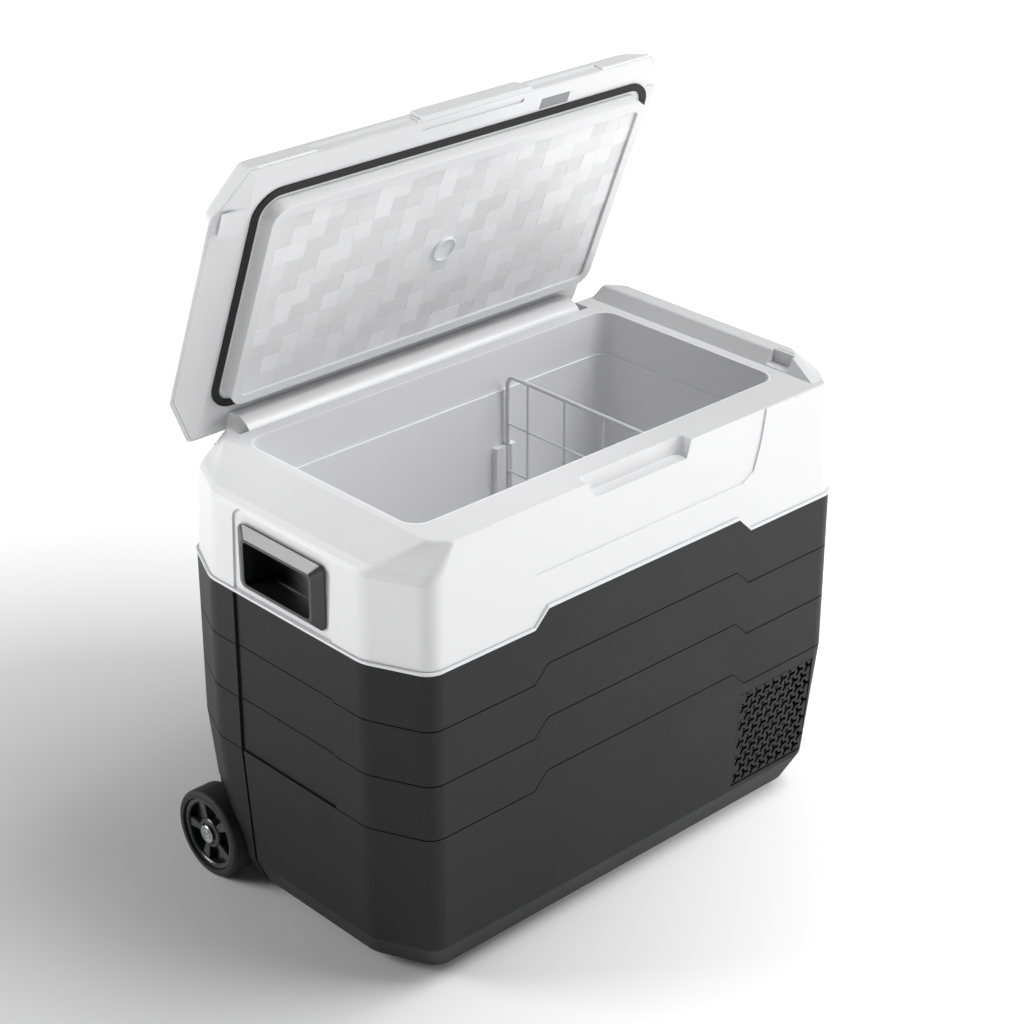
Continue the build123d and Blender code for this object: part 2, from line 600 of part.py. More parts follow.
def make_machinery():
    """Refrigeration circuit and its electrics in the bay under the shelf."""
    floor = FOOT_H + 4
    can = Pos(COMP_X, COMP_Y, floor + 62) * Cylinder(COMP_R, 96)
    can = fillet(can.edges().filter_by(GeomType.CIRCLE), 18)
    mounts = []
    bolts = []
    feet = Pos(COMP_X, COMP_Y, floor + 12.5) * Box(124, 70, 3)
    for dx in (-54, 54):
        for dy in (-27, 27):
            spot = Pos(COMP_X + dx, COMP_Y + dy)
            feet -= spot * Pos(0, 0, floor + 12) * Cylinder(3.2, 12)
            mounts.append(spot * Pos(0, 0, floor + 5.5) * (Cylinder(8, 11) - Cylinder(3.2, 12)))
            bolts.append(spot * (Pos(0, 0, floor + 7.5) * Cylinder(3, 15) + Pos(0, 0, floor
                                                                                + 16) * Cylinder(6, 4)))
    keep("compressor", can + feet)
    keep("compressor_mounts", Compound(children=mounts))
    keep("compressor_bolts", Compound(children=bolts))
    core = block(172, 292, -178, -146, 44, 172)
    for i in range(30):
        x = 174.4 + 4 * i
        core -= block(x, x + 2.8, -180, -144, 47, 169)
    keep("condenser_fins", core)
    tubes = []
    for i in range(5):
        z = 57 + 24 * i
        tubes.append(rod((171, -140.5, z), (293, -140.5, z), 3))
    for i in range(4):
        z = 57 + 24 * i
        x = 294 if i % 2 == 0 else 170
        bend = rod((x, -140.5, z - 3), (x, -140.5, z + 27), 3)
        tubes.append(bend)
    coil = tubes[0]
    for tube in tubes[1:]:
        coil = coil + tube
    keep("condenser_coil", coil)
    shroud = Pos(FAN_X, FAN_Y, FAN_Z) * Box(116, 22, 116)
    shroud -= rod((FAN_X, FAN_Y - 20, FAN_Z), (FAN_X, FAN_Y + 20, FAN_Z), FAN_R + 2)
    for turn in (0, 90):
        arm = Pos(FAN_X, FAN_Y + 9.5, FAN_Z) * Rot(0, turn + 45, 0) * Box(114, 3, 7)
        shroud += arm
    shroud += rod((FAN_X, FAN_Y + 8, FAN_Z), (FAN_X, FAN_Y + 11, FAN_Z), 17)
    shroud += rod((FAN_X, FAN_Y - 8, FAN_Z), (FAN_X, FAN_Y + 9, FAN_Z), 2.5)
    keep("fan_shroud", shroud)
    hub = rod((FAN_X, FAN_Y - 9.5, FAN_Z), (FAN_X, FAN_Y + 7, FAN_Z), 16)
    rotor = hub
    for i in range(7):
        blade = Pos(FAN_X, FAN_Y - 1, FAN_Z) * Rot(0, i * 360 / 7, 0) * Pos(32, 0, 0) * Rot(32, 0, 0) * Box(36, 2, 20)
        rotor += blade
    limit = rod((FAN_X, FAN_Y - 9.5, FAN_Z), (FAN_X, FAN_Y + 7, FAN_Z), FAN_R - 1)
    rotor = (rotor & limit) - rod((FAN_X, FAN_Y - 8.2, FAN_Z), (FAN_X, FAN_Y + 8, FAN_Z), 2.5 + PIN_FIT)
    keep("fan_rotor", rotor)
    keep("filter_drier", rod((158, 72, 40), (158, 72, 128), 9) + rod((158, 72, 30), (158, 72, 138), 3))
    board = block(178, 284, 112, 114, 44, 134)
    parts = block(186, 214, 114, 132, 52, 80) + block(222, 240, 114, 138, 56, 112) + block(250, 276, 114, 128, 60, 126)
    keep("control_board", board + parts)
    tray = block(172, 290, 104, 150, 36, 142) - block(174, 288, 106, 151, 38, 140)
    posts = [rod((x, 106, z), (x, 112, z), 3) for x in (182, 280) for z in (48, 130)]
    for post in posts:
        tray += post
    keep("board_tray", tray)
    inlet = block(-X0 - 26, -X0 + 0.5, 52, 76, 134, 166) & lower_form(-0.5)
    inlet -= block(-X0 - 18, -X0 + 5, 56, 72, 152, 162)
    inlet -= rod((-X0 - 18, 64, 143), (-X0 + 5, 64, 143), 5)
    keep("power_inlet", inlet)
    keep("suction_line", pipe([(COMP_X, COMP_Y, 128), (COMP_X, COMP_Y, 190), (COMP_X - 70, COMP_Y, 190),
                               (COMP_X - 70, COMP_Y + 40, 190)], 14, 4))
    keep("discharge_line", pipe([(COMP_X - COMP_R, COMP_Y, 96), (COMP_X - 62, COMP_Y, 96),
                                 (COMP_X - 62, -140.5, 96), (COMP_X - 55.2, -140.5, 96)], 3.5, 3))


def make_evaporator():
    """Evaporator tube wound round the tub, inside the foam."""
    loops = []
    for i in range(6):
        z = 110 + 60 * i
        x1 = TUB_X1 if z > SHELF_H else SHELF_X + TUB_WALL + 6
        path = Pos((TUB_X0 + x1) / 2, 0, z) * RectangleRounded(x1 - TUB_X0 + 14, 2 * TUB_HALF_Y + 14,
                                                               TUB_R + 5)
        wire = path.face().outer_wire()
        start = wire @ 0
        loops.append(sweep(Plane(origin=start, z_dir=wire % 0) * Circle(4), path=wire))
    keep("evaporator_coil", Compound(children=loops))


def make_divider():
    """Wire divider that lifts out of its rails."""
    half = TUB_HALF_Y - TUB_WALL - TUB_FOOT_IN - DIVIDER_FIT - WIRE_R
    foot = TUB_FLOOR_H + WIRE_R + 0.2
    corner = 12.0
    side = pipe([(DIVIDER_X, 0, foot), (DIVIDER_X, half, foot), (DIVIDER_X, half, DIVIDER_TOP),
                 (DIVIDER_X, 0, DIVIDER_TOP)], corner, WIRE_R)
    frame = side + mirror(side, Plane.XZ)
    z = DIVIDER_TOP - DIVIDER_PITCH
    while z > foot + DIVIDER_PITCH / 2:
        frame += rod((DIVIDER_X, -half, z), (DIVIDER_X, half, z), THIN_R)
        z -= DIVIDER_PITCH
    for i in range(4):
        y = DIVIDER_PITCH * (i - 1.5) + 4
        frame += rod((DIVIDER_X, y, foot), (DIVIDER_X, y, DIVIDER_TOP), THIN_R)
    keep("wire_divider", frame)


def make_lamp():
    """Lamp and temperature probe on the tub's front wall."""
    wall = -(TUB_HALF_Y - TUB_WALL - TUB_STEP_IN)
    keep("tub_lamp", block(166, 214, wall + 0.5, wall + 3.6, 455, 467))
    keep("temperature_probe", rod((240, wall + 0.6, 470), (240, wall + 6, 470), 7))


def make_wheels():
    """Rear wheels: tyre, spoked hub, cap, stub axle and bracket on each side."""
    for side, word in ((-1, "left"), (1, "right")):
        out = side * (LENGTH / 2 + WHEEL_OUT)
        mid = out - side * WHEEL_W / 2
        inner = out - side * WHEEL_W
        wall = side * (LENGTH / 2 + WHEEL_OUT - WHEEL_W - ARCH_GAP)
        spot = Pos(mid, WHEEL_Y, WHEEL_Z) * Rot(0, 90, 0)
        tyre = Cylinder(WHEEL_R, WHEEL_W) - Cylinder(WHEEL_R - TYRE_T, WHEEL_W + 2)
        tyre = fillet(tyre.faces().filter_by(GeomType.CYLINDER).sort_by(SortBy.AREA)[-1].edges(), 5)
        keep(f"tyre_{word}", spot * tyre)
        rim = Cylinder(WHEEL_R - TYRE_T, WHEEL_W - 6) - Cylinder(WHEEL_R - TYRE_T - 5, WHEEL_W)
        rim += Cylinder(14, WHEEL_W - 4)
        for i in range(6):
            rim += Rot(0, 0, 60 * i) * Pos(26, 0, 0) * Box(30, 7, WHEEL_W - 12)
        rim -= Cylinder(AXLE_R + PIN_FIT, WHEEL_W + 4)
        keep(f"wheel_hub_{word}", spot * rim)
        cap = Pos(0, 0, side * (WHEEL_W / 2 - 0.5)) * Cylinder(11, 2.6)
        keep(f"axle_nut_{word}", spot * cap)
        axle = rod((out - side * 1.8, WHEEL_Y, WHEEL_Z), (wall - side * (WALL + 6), WHEEL_Y, WHEEL_Z),
                   AXLE_R)
        axle += rod((inner - side * 0.4, WHEEL_Y, WHEEL_Z), (wall, WHEEL_Y, WHEEL_Z), AXLE_R + 4)
        keep(f"axle_{word}", axle)
        b0, b1 = sorted((wall - side * WALL, wall - side * (WALL + 5)))
        bracket = block(b0, b1, WHEEL_Y - 26, WHEEL_Y + 5.6, WHEEL_Z - 10, WHEEL_Z + 28)
        bracket -= rod((b0 - 1, WHEEL_Y, WHEEL_Z), (b1 + 1, WHEEL_Y, WHEEL_Z), AXLE_R)
        keep(f"wheel_bracket_{word}", bracket)
        hole = rod((wall + side, WHEEL_Y, WHEEL_Z), (wall - side * (WALL + 1), WHEEL_Y, WHEEL_Z), AXLE_R)
        SHAPES["lower_shell"] = SHAPES["lower_shell"] - hole


def open_lid(shape):
    """Swings a piece from the closed pose to the pose at rest."""
    return shape.rotate(Axis((0, HINGE_Y, HINGE_Z), (1, 0, 0)), -OPEN_DEG)


def lid_outline(t, inset, z):
    """Plan of the lid: 0 is its lower edge, 1 the break and 2 the top."""
    low = (LID_X0, LID_X1, LID_Y0, LID_Y1)
    edge = (LID_X0 + 7, LID_X1 - 26, LID_Y0 + 8, LID_Y1 - 7)
    top = (LID_X0 + 26, LID_X1 - 40, LID_Y0 + 28, LID_Y1 - 27)
    if t <= 1:
        x0, x1, y0, y1 = between(low, edge, t)
        left = between((FACET_X, 60), (FACET_X, 58), t)
    else:
        x0, x1, y0, y1 = between(edge, top, t - 1)
        left = between((FACET_X, 58), (28, 50), t - 1)
    return outline((x0 + inset, x1 - inset, y0 + inset, y1 - inset), left, (9, 12), (14, 6), z)


def lid_form(inset, z0, z1):
    """The lid's outer form, inset, between two heights."""
    edge = UNDERSIDE + LID_EDGE_H
    down = LID_SOFT / LID_EDGE_H
    up = LID_SOFT / (LID_H - LID_EDGE_H)
    sections = [lid_outline(0, inset, z0), lid_outline(1 - down, inset, edge - LID_SOFT),
                lid_outline(1 + 0.3 * up, inset, edge), lid_outline(1 + up, inset, edge + LID_SOFT),
                lid_outline(2, inset, z1)]
    form = loft(sections, ruled=True)
    if inset == 0:
        form = fillet(edges_at(form, z1), LID_ROUND)
        form = fillet(edges_at(form, z0), 1.2)
    return form


def lid_slope(lift):
    """The space under the lid's rising end."""
    line = make_face(Polyline((LID_SLOPE_X, UNDERSIDE + lift), (LID_X0 - 5, UNDERSIDE + lift
                                                                + LID_SLOPE_RISE), (LID_X0 - 5,
                                                                                    UNDERSIDE - 40),
                              (LID_SLOPE_X, UNDERSIDE - 40), close=True))
    return extrude(Plane(origin=(0, 260, 0), x_dir=(1, 0, 0), z_dir=(0, -1, 0)) * line, amount=520)


def plug_block(inset, z0, z1):
    """The lid plug's plan as a block, inset all round."""
    return rounded_block(TUB_X0 + PLUG_GAP + inset, TUB_X1 - PLUG_GAP - inset, -TUB_HALF_Y + PLUG_GAP
                         + inset,
                         TUB_HALF_Y - PLUG_BACK_GAP - inset, z0, z1, max(PLUG_R - inset, 6))


def make_lid():
    """Lid shell, inner frame, facet panel, foam, gasket and small fittings."""
    u = UNDERSIDE
    top = u + LID_H
    skin_out = lid_form(0, u, top) - lid_form(LID_WALL, u, top - LID_WALL)
    tongue_low = Pos(0, (LID_Y0 - 4 + LID_Y0 + 12) / 2, u) * Rectangle(2 * FINGER_HALF, 16)
    tongue_high = Pos(0, (LID_Y0 + 4 + LID_Y0 + 20) / 2, u + LID_EDGE_H) * Rectangle(2 * FINGER_HALF - 8,
                                                                                     16)
    tongue = loft([tongue_low, tongue_high], ruled=True) - lid_form(LID_WALL, u, top - LID_WALL)
    skin_out += tongue
    recess = lid_form(-3, u - 1, top + 3) - lid_form(1.6, u - 2, top)
    for a, b in ((PANEL_TOP[0], -FINGER_HALF - 3), (FINGER_HALF + 3, PANEL_MID[1])):
        skin_out -= recess & block(a, b, LID_Y0 - 10, LID_Y0 + 5.5, u - 5, u + LID_EDGE_H)
    skin_out += block(LID_X1 - 22, LID_X1 + 14, TAB_Y0, TAB_Y1, u, u + 7) - lid_form(LID_WALL, u,
                                                                                     top - LID_WALL)
    keep("lid_shell", open_lid(skin_out - lid_slope(0)))

    plate = lid_form(LID_WALL + FIT, u, top - LID_WALL)
    plate = plate & (block(-400, 400, -300, 300, u, u + 3) + lid_slope(3))
    plate -= lid_slope(0) - block(-400, 400, -300, 300, -100, -50)
    frame = plug_block(0, u - PLUG_H, u) - plug_block(PLUG_FRAME_W, u - PLUG_H - 1, u + 1)
    plate = plate + frame - plug_block(PLUG_FRAME_W, u - 40, u + 10)
    latch = block(LID_SLOPE_X - 33, LID_SLOPE_X + 4, TAB_Y0 + 4, TAB_Y1 + 8, u, u + 3)
    plate += latch
    grip_slot = Pos(0, LID_Y0 + 14, u) * SlotOverall(2 * FINGER_HALF - 10, 6)
    plate -= extrude(grip_slot, amount=2.2)
    plate -= block(104, 148, LID_Y0 + 20, LID_Y0 + 34, u - 1, u + 1)
    keep("lid_frame", open_lid(plate))
    keep("lid_magnet_plate", open_lid(block(104 + FIT, 148 - FIT, LID_Y0 + 20 + FIT, LID_Y0 + 34 - FIT,
                                            u - 0.2, u + 1)))

    cap_x = (TUB_X0 + TUB_X1) / 2
    cap_y = (PLUG_GAP - PLUG_BACK_GAP) / 2
    face = u - PLUG_H + PANEL_SET
    panel = plug_block(PLUG_FRAME_W + FIT, face, face + 3)
    panel -= Pos(cap_x, cap_y, face) * Cylinder(8, 12)
    keep("lid_panel", open_lid(panel))
    cap = Pos(cap_x, cap_y, face - 1.5) * Cylinder(16, 3) + Pos(cap_x, cap_y, face + 1.5) * Cylinder(7.9, 3)
    keep("lid_centre_cap", open_lid(cap))
    foam_low = plug_block(PLUG_FRAME_W + 1, face + 3.2, u + 4)
    foam_high = lid_form(LID_WALL + 2, u, top - LID_WALL - 1) & block(-400, 400, -300, 300, u + 3.5,
                                                                      top - LID_WALL - 1)
    foam = foam_low + (foam_high - lid_slope(4)) - block(LID_X1 - 30, LID_X1 + 20, TAB_Y0 - 2, TAB_Y1 + 2,
                                                         u - 5, u + 9)
    keep("lid_foam", open_lid(foam))
    ring = plug_block(-GASKET_OUT - GASKET_W, u - GASKET_H, u) - plug_block(-GASKET_OUT, u - 10, u + 5)
    keep("lid_gasket", open_lid(ring))


def make_hinge():
    """Hinge barrel under the lid's back edge, and its two pins."""
    reach = 2 * BARREL_R
    low = radians(216)
    wedge = make_face(Polyline((0, 0), (reach * cos(low), reach * sin(low)), (-reach, reach * sin(low)),
                               (-reach, UNDERSIDE - HINGE_Z),
                               (6, UNDERSIDE - HINGE_Z), (6, 0), close=True))
    wedge = extrude(Plane(origin=(BARREL_X0, HINGE_Y, HINGE_Z), x_dir=(0, 1, 0), z_dir=(1, 0, 0)) * wedge,
                    amount=BARREL_X1 - BARREL_X0)
    barrel = (hinge_bar(BARREL_R, BARREL_X0, BARREL_X1) & wedge) + hinge_bar(HUB_R, BARREL_X0, BARREL_X1)
    bore = PIN_IN
    barrel -= hinge_bar(PIN_R + PIN_FIT, BARREL_X0 - 1, BARREL_X0 + bore)
    barrel -= hinge_bar(PIN_R + PIN_FIT, BARREL_X1 - bore, BARREL_X1 + 1)
    keep("hinge_barrel", open_lid(barrel))
    keep("hinge_pin_left", hinge_bar(PIN_R, BARREL_X0 + bore - 1 - PIN_L, BARREL_X0 + bore - 1))
    keep("hinge_pin_right", hinge_bar(PIN_R, BARREL_X1 - bore + 1, BARREL_X1 - bore + 1 + PIN_L))


def build():
    """Makes every piece and writes one STEP for each."""
    make_lower_shell()
    make_seam_trim()
    make_upper_shell()
    make_tub()
    make_foam()
    make_base()
    make_grips()
    make_console()
    make_control_pad()
    make_grilles()
    make_machinery()
    make_evaporator()
    make_divider()
    make_lamp()
    make_wheels()
    make_lid()
    make_hinge()
    os.makedirs("parts", exist_ok=True)
    for name, shape in SHAPES.items():
        export_step(shape, f"parts/{name}.step")


build()
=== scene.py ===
import json
import math
import random

import bmesh
import bpy
from mathutils import Matrix, Vector


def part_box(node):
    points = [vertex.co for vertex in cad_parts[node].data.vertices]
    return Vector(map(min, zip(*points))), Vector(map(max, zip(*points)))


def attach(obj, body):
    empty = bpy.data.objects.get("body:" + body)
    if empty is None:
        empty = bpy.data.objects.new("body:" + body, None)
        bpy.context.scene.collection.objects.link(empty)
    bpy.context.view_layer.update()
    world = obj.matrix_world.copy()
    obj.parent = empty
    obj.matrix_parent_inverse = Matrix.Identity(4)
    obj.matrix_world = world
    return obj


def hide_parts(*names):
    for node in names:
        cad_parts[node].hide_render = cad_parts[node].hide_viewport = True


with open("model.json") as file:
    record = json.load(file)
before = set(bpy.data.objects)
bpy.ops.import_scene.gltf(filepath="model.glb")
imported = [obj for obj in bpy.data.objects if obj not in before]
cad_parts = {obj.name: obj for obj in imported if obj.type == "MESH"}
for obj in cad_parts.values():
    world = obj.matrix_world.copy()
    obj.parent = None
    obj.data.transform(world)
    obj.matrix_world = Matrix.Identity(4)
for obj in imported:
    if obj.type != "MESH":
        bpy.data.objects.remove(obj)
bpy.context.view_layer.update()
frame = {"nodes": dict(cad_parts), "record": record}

nodes = frame["nodes"]
MM = 0.001
UNDERSIDE = 0.547       # underside of the closed lid, over the floor
HINGE_Y, HINGE_Z = 0.184, 0.526
OPEN = math.radians(68.7)   # how far the lid stands open at rest


# ---------------------------------------------------------------- materials
def colour(value):
    """sRGB hex to linear RGBA."""
    parts = [int(value[i:i + 2], 16) / 255 for i in (0, 2, 4)]
    return tuple(c / 12.92 if c <= 0.04045 else ((c + 0.055) / 1.055) ** 2.4 for c in parts) + (1.0,)


def add(tree, kind, settings=None, links=None):
    """Adds one node with its settings and incoming links."""
    made = tree.nodes.new(kind)
    for key, value in (settings or {}).items():
        if isinstance(key, str) and hasattr(made, key):
            setattr(made, key, value)
        else:
            made.inputs[key].default_value = value
    for key, source in (links or {}).items():
        tree.links.new(source, made.inputs[key])
    return made


def finish(name, base, rough, grain_mm, bump=0.1, mottle=0.03, metallic=0.0, ior=1.5, coat=0.0, spots=None,
           transmission=0.0, rough_spread=0.05, level=0.5, shade=None):
    """A moulded, painted or plain-metal finish with grain, slight mottling and uneven gloss; where an attribute is
    named, its painted shade is multiplied into the colour.
    """
    material = bpy.data.materials.new(name)
    material.use_nodes = True
    tree = material.node_tree
    tree.nodes.clear()
    cloud_size = 0.11       # metres across one patch of slightly different shade
    place = add(tree, "ShaderNodeTexCoord")
    grain = add(tree, "ShaderNodeTexNoise", {"Scale": 1.0 / (grain_mm * MM), "Detail": 3.0, "Roughness": 0.6},
                {"Vector": place.outputs["Object"]})
    cloud = add(tree, "ShaderNodeTexNoise", {"Scale": 1.0 / cloud_size, "Detail": 2.0, "Roughness": 0.5},
                {"Vector": place.outputs["Object"]})
    tone = colour(base)
    light = tuple(min(1.0, c * (1 + mottle)) for c in tone[:3]) + (1.0,)
    dark = tuple(c * (1 - mottle) for c in tone[:3]) + (1.0,)
    mix = add(tree, "ShaderNodeMix", {"data_type": "RGBA"}, {"Factor": cloud.outputs["Fac"]})
    mix.inputs[6].default_value = dark
    mix.inputs[7].default_value = light
    tint = mix.outputs[2]
    if spots:
        speck = add(tree, "ShaderNodeValToRGB", {}, {"Fac": grain.outputs["Fac"]})
        speck.color_ramp.elements[0].position = 0.44
        speck.color_ramp.elements[1].position = 0.62
        over = add(tree, "ShaderNodeMix", {"data_type": "RGBA"}, {"Factor": speck.outputs["Color"]})
        tree.links.new(tint, over.inputs[6])
        over.inputs[7].default_value = colour(spots)
        tint = over.outputs[2]
    # painted shade: a per-corner attribute multiplied into the colour, darkening some tiles as if they were turned
    # from the light
    if shade:
        own = add(tree, "ShaderNodeAttribute", {"attribute_name": shade})
        painted_shade_mix = add(tree, "ShaderNodeMix", {"data_type": "RGBA", "blend_type": "MULTIPLY", "Factor": 1.0})
        tree.links.new(tint, painted_shade_mix.inputs[6])
        tree.links.new(own.outputs["Color"], painted_shade_mix.inputs[7])
        tint = painted_shade_mix.outputs[2]
    gloss = add(tree, "ShaderNodeMapRange", {"To Min": max(0.02, rough - rough_spread), "To Max": min(1.0, rough + rough_spread)},
                {"Value": cloud.outputs["Fac"]})
    relief = add(tree, "ShaderNodeBump", {"Strength": bump, "Distance": grain_mm * MM * 0.3},
                 {"Height": grain.outputs["Fac"]})
    shader = add(tree, "ShaderNodeBsdfPrincipled", {"Metallic": metallic, "Coat Weight": coat},
                 {"Base Color": tint, "Roughness": gloss.outputs["Result"], "Normal": relief.outputs["Normal"]})
    if metallic < 0.5:
        shader.inputs["IOR"].default_value = ior
    shader.inputs["Transmission Weight"].default_value = transmission
    shader.inputs["Specular IOR Level"].default_value = level
    out = add(tree, "ShaderNodeOutputMaterial", {}, {"Surface": shader.outputs["BSDF"]})
    out.location = (600, 0)
    return material


# White ABS, satin moulded: bright and even, soft wide highlights along the chines.
WHITE = finish("white_abs_satin", "E3E3E4", 0.38, 0.9, bump=0.04, mottle=0.012, ior=1.53)
# White ABS, polished tool: the lid's inner face and hinge barrel, a little glossier.
WHITE_GLOSS = finish("white_abs_polished", "E6E6E7", 0.24, 1.4, bump=0.03, mottle=0.01, ior=1.53, coat=0.15)
# White polystyrene, pressed sheet: the tiles lean a little, and each tile carries a painted shade of grey that stands
# in for how its facet catches the light.
TILE = finish("white_polystyrene_tiles", "F4F4F5", 0.3, 1.6, bump=0.02, mottle=0.01, ior=1.57, shade="tile_painted_shade")
# Charcoal polypropylene, spark-eroded tool: matt black-grey with a fine sparkle of grain.
CHARCOAL = finish("charcoal_pp_grained", "151515", 0.50, 1.1, bump=0.45, mottle=0.05, spots="232324", ior=1.49,
                  level=0.28)
# HIPS, pressed sheet: pale grey tub, smooth with a broad sheen.
TUB = finish("pale_hips_pressed", "F0F0F1", 0.34, 2.0, bump=0.02, mottle=0.01, ior=1.57)
# Black ABS, polished: the grip's bevels catch light, its pocket stays deep black.
BLACK = finish("black_abs_polished", "1B1B1C", 0.30, 0.8, bump=0.08, mottle=0.05, ior=1.53, coat=0.2)
# EPDM rubber, extruded: dull, faintly grey black.
RUBBER = finish("epdm_rubber_extruded", "171717", 0.72, 0.7, bump=0.25, mottle=0.06, ior=1.5)
# TPR tyre tread, moulded: dull black with dust in the grain.
TYRE = finish("tpr_tyre_moulded", "232323", 0.66, 1.2, bump=0.5, mottle=0.08, spots="2E2E2E", ior=1.5)
# Zinc-plated steel, rolled: cool grey metal with an uneven shine.
STEEL = finish("zinc_plated_steel", "B9BBBD", 0.34, 1.6, bump=0.08, mottle=0.06, metallic=1.0, rough_spread=0.1)
# Epoxy-coated steel wire: soft white-grey, slightly orange-peeled.
WIRE = finish("epoxy_coated_wire", "D9D9DA", 0.32, 1.2, bump=0.12, mottle=0.02, ior=1.5)
# Copper tube, drawn: warm metal dulled by handling.
COPPER = finish("drawn_copper_tube", "B87850", 0.36, 2.5, bump=0.05, mottle=0.12, metallic=1.0, rough_spread=0.12)
# Aluminium fin stock: light, finely streaked metal.
FINS = finish("aluminium_fin_stock", "C9CBCC", 0.42, 0.8, bump=0.1, mottle=0.05, metallic=1.0)
# Black enamel on pressed steel: the compressor's can.
ENAMEL = finish("black_enamel_steel", "161617", 0.35, 1.8, bump=0.1, mottle=0.05, ior=1.52)
# Glass-epoxy board: green with a weave too fine to show.
BOARD = finish("glass_epoxy_board", "1F5A38", 0.45, 0.9, bump=0.1, mottle=0.1, ior=1.55)
# Polyurethane foam, foamed in place: cream and cellular.
FOAM = finish("polyurethane_foam", "DDCFA6", 0.9, 1.6, bump=0.8, mottle=0.06, spots="CDBD90", ior=1.45)
# Acrylic window, smoked: dark and clear.
SMOKED = finish("smoked_acrylic", "0C0D0F", 0.08, 3.0, bump=0.0, mottle=0.02, ior=1.49, coat=0.5)
# Grey ABS: keys and the lid's magnet plate.
GREY = finish("grey_abs", "8E8E90", 0.42, 0.7, bump=0.15, mottle=0.04, ior=1.53)
# Opal acrylic: the tub lamp's cover.
OPAL = finish("opal_acrylic", "F3F5F8", 0.3, 2.0, bump=0.02, mottle=0.01, ior=1.49)

BY_SLOT = {
    "shell_white": WHITE, "shell_dark": CHARCOAL, "tub_grey": TUB, "black_plastic": BLACK, "grey_plastic": GREY,
    "foam": FOAM, "rubber": RUBBER, "tyre": TYRE, "steel": STEEL, "white_wire": WIRE, "can_black": ENAMEL,
    "copper": COPPER, "aluminium": FINS, "board": BOARD, "clear": SMOKED, "lamp": OPAL}
slot_of = {part["node"]: part["material_slot"] for part in frame["record"]["subparts"]}


def paint(obj, material):
    """Gives a piece one material."""
    obj.data.materials.clear()
    obj.data.materials.append(material)


for name, obj in nodes.items():
    paint(obj, BY_SLOT[slot_of[name]])
for name in ("lid_frame", "hinge_barrel", "lid_centre_cap", "lid_panel"):
    paint(nodes[name], WHITE_GLOSS)


# ---------------------------------------------------------------- helpers for pieces
def new_piece(name, bm, material, body, node, smooth=True):
    """Turns a bmesh into a piece that rides on a body and stands for a CAD node."""
    mesh = bpy.data.meshes.new(name)
    bmesh.ops.recalc_face_normals(bm, faces=bm.faces)
    bm.to_mesh(mesh)
    bm.free()
    if smooth:
        for face in mesh.polygons:
            face.use_smooth = True
        mesh.set_sharp_from_angle(angle=math.radians(32))
    obj = bpy.data.objects.new(name, mesh)
    bpy.context.collection.objects.link(obj)
    paint(obj, material)
    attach(obj, body)
    if node:
        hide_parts(node)
    return obj


def opened(bm):
    """Swings lid geometry from closed to the lid's angle at rest."""
    turn = Matrix.Translation((0, HINGE_Y, HINGE_Z)) @ Matrix.Rotation(-OPEN, 4, "X")
    bmesh.ops.transform(bm, matrix=turn @ Matrix.Translation((0, -HINGE_Y, -HINGE_Z)), verts=bm.verts)


# ---------------------------------------------------------------- lid tiles
def make_tiles():
    """Pressed panel inside the lid: interlocking tiles, each leaning a little its own way, each with its own painted
    shade of grey.
    """
    x0, x1, y0, y1 = -0.2645, 0.2575, -0.1240, 0.1215
    columns, rows = 23, 11          # tiles of about 23 by 22 mm
    face = UNDERSIDE - 0.015
    leans = (0.9, -0.6, 0.2, -1.0, 0.5, -0.2, 0.7)
    draw = random.Random(7)
    bm = bmesh.new()
    shade = bm.loops.layers.float_color.new("tile_painted_shade")
    wide = (x1 - x0) / columns
    deep = (y1 - y0) / rows
    rise = 0.00022                  # how far a tile stands out or leans
    base = face + 0.0029            # back of the panel
    for i in range(columns):
        for j in range(rows):
            bright = ((i + j % 2) // 2 + j // 2) % 2
            tone = 0.48 * bright + draw.uniform(0.0, 0.52)
            lean = leans[(2 * i + 3 * j) % 7]
            across = leans[(3 * i + j) % 7]
            left, low = x0 + i * wide, y0 + j * deep
            cells = []
            for dx, dy in ((0, 0), (1, 0), (1, 1), (0, 1)):
                z = face + rise * (1.4 - tone + 0.5 * lean * (2 * dx - 1) + 0.5 * across * (2 * dy - 1))
                cells.append(bm.verts.new((left + dx * wide, low + dy * deep, z)))
            faces = [bm.faces.new(cells)]
            foot = [bm.verts.new((v.co.x, v.co.y, base)) for v in cells]
            for k in range(4):
                faces.append(bm.faces.new((cells[k], foot[k], foot[(k + 1) % 4], cells[(k + 1) % 4])))
            faces.append(bm.faces.new(foot[::-1]))
            # painted shade: this tile's grey stands for how its facet would catch the light
            value = 0.84 + 0.16 * tone
            for made in faces:
                for loop in made.loops:
                    loop[shade] = (value, value, value, 1.0)
    opened(bm)
    return new_piece("lid_tiles", bm, TILE, "lid", "lid_panel", smooth=False)


